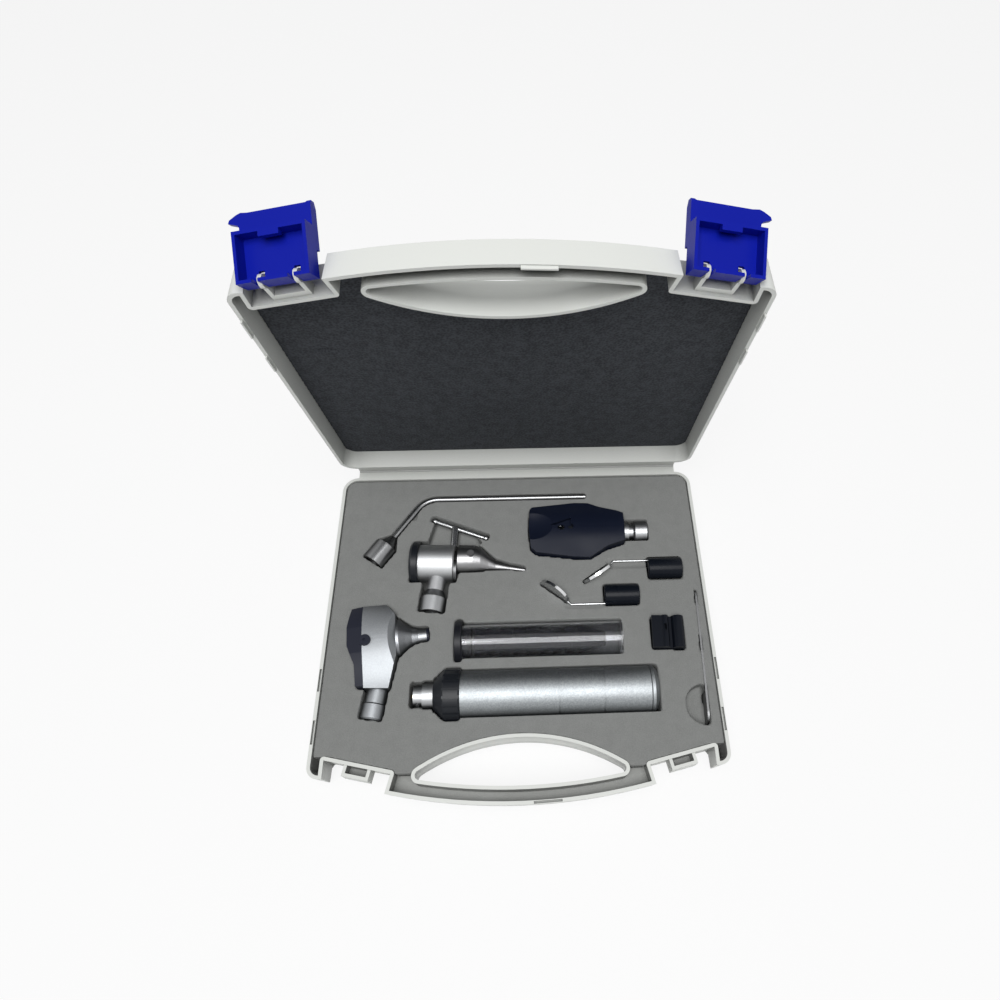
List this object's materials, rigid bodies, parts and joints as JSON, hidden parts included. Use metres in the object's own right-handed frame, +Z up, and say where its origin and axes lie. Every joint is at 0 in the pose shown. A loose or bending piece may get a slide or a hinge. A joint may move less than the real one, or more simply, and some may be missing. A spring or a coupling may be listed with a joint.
{
  "type": "otoscope carry case",
  "caption": "Open plastic carry case with blue snap latches, foam in lid and base, and an otoscope, operating head, ophthalmoscope, battery handle, mirrors and specula in its pockets.",
  "frame": {"origin": "centre of the flat underside of the base, under the middle of its 196 mm depth", "axes": "+Z up out of the base, +Y towards the hinge, +X to the right seen from the carrying handle"},
  "size_m": [0.24, 0.2382, 0.2519],
  "materials": {
    "case_plastic": "moulded, fine grain",
    "hinge_plastic": "thin moulded strip",
    "latch_blue": "moulded, glossy",
    "base_foam_grey": "die-cut open-cell foam",
    "lid_foam_dark": "open-cell foam sheet",
    "satin_steel": "satin, fine knurl",
    "bright_chrome": "polished",
    "black_plastic": "moulded",
    "sleeve_black": "moulded, glossy",
    "specula_black": "moulded, thin",
    "clear_plastic": "clear, polished",
    "lens_glass": "ground and polished",
    "mirror_glass": "silvered",
    "cell_jacket": "printed sleeve",
    "spring_steel": "drawn wire",
    "brass_contact": "turned",
    "steel_blade": "polished strip"
  },
  "bodies": {
    "base": {"base_shell": "case_plastic", "film_hinge": "hinge_plastic", "foam_front": "base_foam_grey", "foam_left": "base_foam_grey", "foam_right": "base_foam_grey", "foam_holder_bed": "base_foam_grey", "foam_handle_bed": "base_foam_grey", "foam_tube_bed": "base_foam_grey", "foam_rear_left": "base_foam_grey", "foam_rear_right": "base_foam_grey", "foam_backing": "base_foam_grey"},
    "lid": {"lid_shell": "case_plastic", "lid_foam": "lid_foam_dark"},
    "left_latch": {"latch_left": "latch_blue"},
    "right_latch": {"latch_right": "latch_blue"},
    "battery_handle": {"handle_tube": "satin_steel", "bayonet_connector": "bright_chrome", "contact_stud": "brass_contact", "battery_cell_front": "cell_jacket", "battery_cell_rear": "cell_jacket", "battery_spring": "spring_steel"},
    "handle_cap": {"handle_end_cap": "bright_chrome"},
    "dimmer": {"dimmer_ring": "black_plastic"},
    "specula_holder": {"specula_tube": "clear_plastic", "ear_specula": "specula_black"},
    "specula_lid": {"specula_cap": "black_plastic"},
    "otoscope_head": {"otoscope_body": "satin_steel", "otoscope_lens_frame": "black_plastic", "otoscope_lens": "lens_glass", "otoscope_screw": "bright_chrome", "otoscope_nose": "satin_steel", "otoscope_tip": "black_plastic", "otoscope_collar": "bright_chrome", "otoscope_lamp": "lens_glass"},
    "operating_head": {"operating_body": "bright_chrome", "operating_ring": "black_plastic", "operating_plate": "black_plastic", "speculum_lower": "bright_chrome", "speculum_upper": "bright_chrome", "thumb_bar": "bright_chrome", "thumb_stem": "bright_chrome", "operating_screw": "bright_chrome", "operating_socket": "bright_chrome"},
    "bent_arm_light": {"bent_arm_tube": "bright_chrome", "bent_arm_socket": "bright_chrome", "bent_arm_insulator": "black_plastic"},
    "ophthalmoscope_head": {"ophthalmoscope_top": "black_plastic", "ophthalmoscope_bottom": "black_plastic", "ophthalmoscope_window": "lens_glass", "ophthalmoscope_neck": "bright_chrome", "ophthalmoscope_socket": "bright_chrome"},
    "lens_wheel": {"ophthalmoscope_wheel": "black_plastic"},
    "mirror_a": {"mirror_a_sleeve": "sleeve_black", "mirror_a_stem": "bright_chrome", "mirror_a_disc": "mirror_glass"},
    "mirror_b": {"mirror_b_sleeve": "sleeve_black", "mirror_b_stem": "bright_chrome", "mirror_b_disc": "mirror_glass"},
    "holder": {"blade_holder": "black_plastic"},
    "blade": {"tongue_blade": "steel_blade"}
  },
  "joints": [
    {"name": "lid_hinge", "type": "hinge", "parent": "base", "child": "lid", "pos_m": [0, 0.1032, 0.03], "axis": [-1, 0, 0], "range_deg": [-80, 90]},
    {"name": "left_latch_hinge", "type": "hinge", "parent": "lid", "child": "left_latch", "pos_m": [-0.094, 0.07158, 0.2332], "axis": [-0.9759, 0.0379, -0.215], "range_deg": [-160, 15]},
    {"name": "right_latch_hinge", "type": "hinge", "parent": "lid", "child": "right_latch", "pos_m": [0.094, 0.07158, 0.2332], "axis": [-0.9759, -0.0379, 0.215], "range_deg": [-160, 15]},
    {"name": "battery_handle_lift", "type": "slide", "parent": "base", "child": "battery_handle", "axis": [0, 0, 1], "range_m": [0, 0.045]},
    {"name": "specula_holder_lift", "type": "slide", "parent": "base", "child": "specula_holder", "axis": [0, 0, 1], "range_m": [0, 0.045]},
    {"name": "otoscope_head_lift", "type": "slide", "parent": "base", "child": "otoscope_head", "axis": [0, 0, 1], "range_m": [0, 0.045]},
    {"name": "operating_head_lift", "type": "slide", "parent": "base", "child": "operating_head", "axis": [0, 0, 1], "range_m": [0, 0.045]},
    {"name": "bent_arm_light_lift", "type": "slide", "parent": "base", "child": "bent_arm_light", "axis": [0, 0, 1], "range_m": [0, 0.045]},
    {"name": "ophthalmoscope_head_lift", "type": "slide", "parent": "base", "child": "ophthalmoscope_head", "axis": [0, 0, 1], "range_m": [0, 0.045]},
    {"name": "mirror_a_lift", "type": "slide", "parent": "base", "child": "mirror_a", "axis": [0, -0.402, 0.9156], "range_m": [0, 0.02]},
    {"name": "mirror_b_lift", "type": "slide", "parent": "base", "child": "mirror_b", "axis": [0, 0, 1], "range_m": [0, 0.045]},
    {"name": "holder_lift", "type": "slide", "parent": "base", "child": "holder", "axis": [0, 0, 1], "range_m": [0, 0.045]},
    {"name": "blade_lift", "type": "slide", "parent": "base", "child": "blade", "axis": [0, 0, 1], "range_m": [0, 0.045]},
    {"name": "dimmer_turn", "type": "hinge", "parent": "battery_handle", "child": "dimmer", "pos_m": [-0.0433, -0.05261, 0.0245], "axis": [1, 0, 0], "range_deg": [0, 120]},
    {"name": "handle_cap_turn", "type": "hinge", "parent": "battery_handle", "child": "handle_cap", "pos_m": [0.0773, -0.05261, 0.0245], "axis": [1, 0, 0], "range_deg": [0, 350]},
    {"name": "specula_cap_turn", "type": "hinge", "parent": "specula_holder", "child": "specula_lid", "pos_m": [-0.0352, -0.02001, 0.0245], "axis": [-1, 0, 0], "range_deg": [-180, 180]},
    {"name": "lens_wheel_turn", "type": "hinge", "parent": "ophthalmoscope_head", "child": "lens_wheel", "pos_m": [0.0346, 0.0532, 0.026], "axis": [0, 0, 1], "continuous": true}
  ]
}
